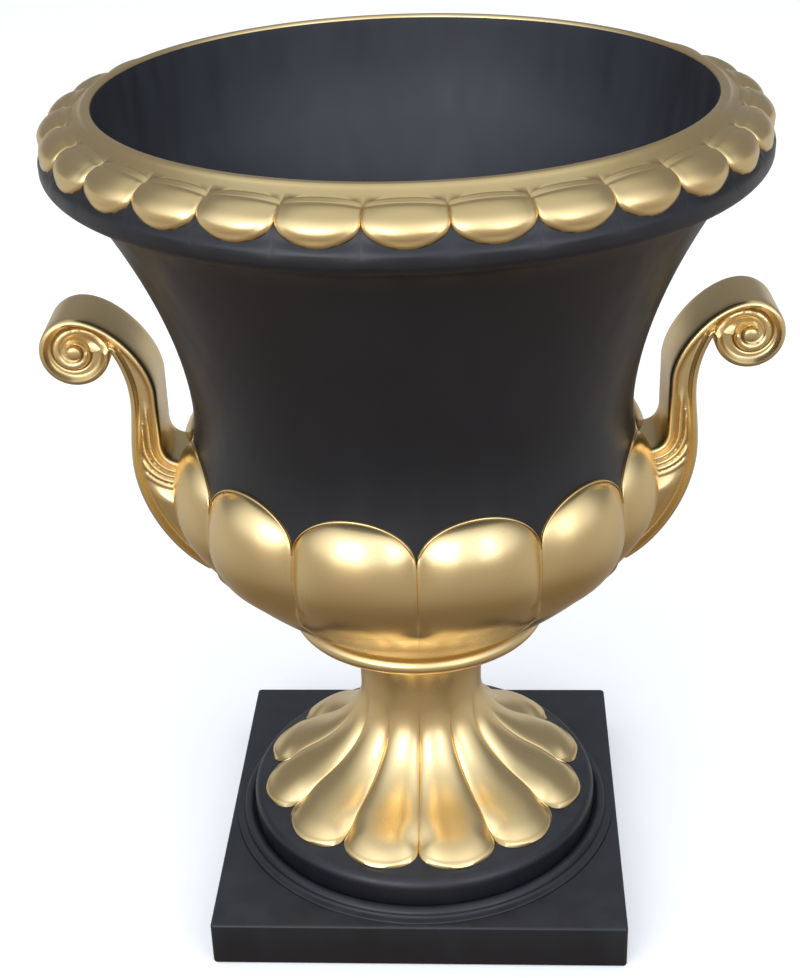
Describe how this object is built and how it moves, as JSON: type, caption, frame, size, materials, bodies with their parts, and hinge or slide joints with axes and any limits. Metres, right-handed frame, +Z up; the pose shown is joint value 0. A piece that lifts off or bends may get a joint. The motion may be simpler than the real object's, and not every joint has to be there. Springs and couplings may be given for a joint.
{
  "type": "urn planter",
  "caption": "Campana-shaped urn planter with scroll handles, lobed rim and bowl, fluted foot and square plinth, black with gilding.",
  "frame": {"origin": "centre of the plinth's underside, on the ground", "axes": "+Z up along the urn's axis, -Y to the front, handles to +X and -X"},
  "size_m": [0.5044, 0.4708, 0.6035],
  "materials": {
    "black": "satin black lacquer on moulded resin",
    "gold": "satin gilding on moulded resin"
  },
  "bodies": {
    "root": {"bowl": "black", "pedestal": "black", "handle_left": "gold", "handle_right": "gold"}
  },
  "joints": []
}
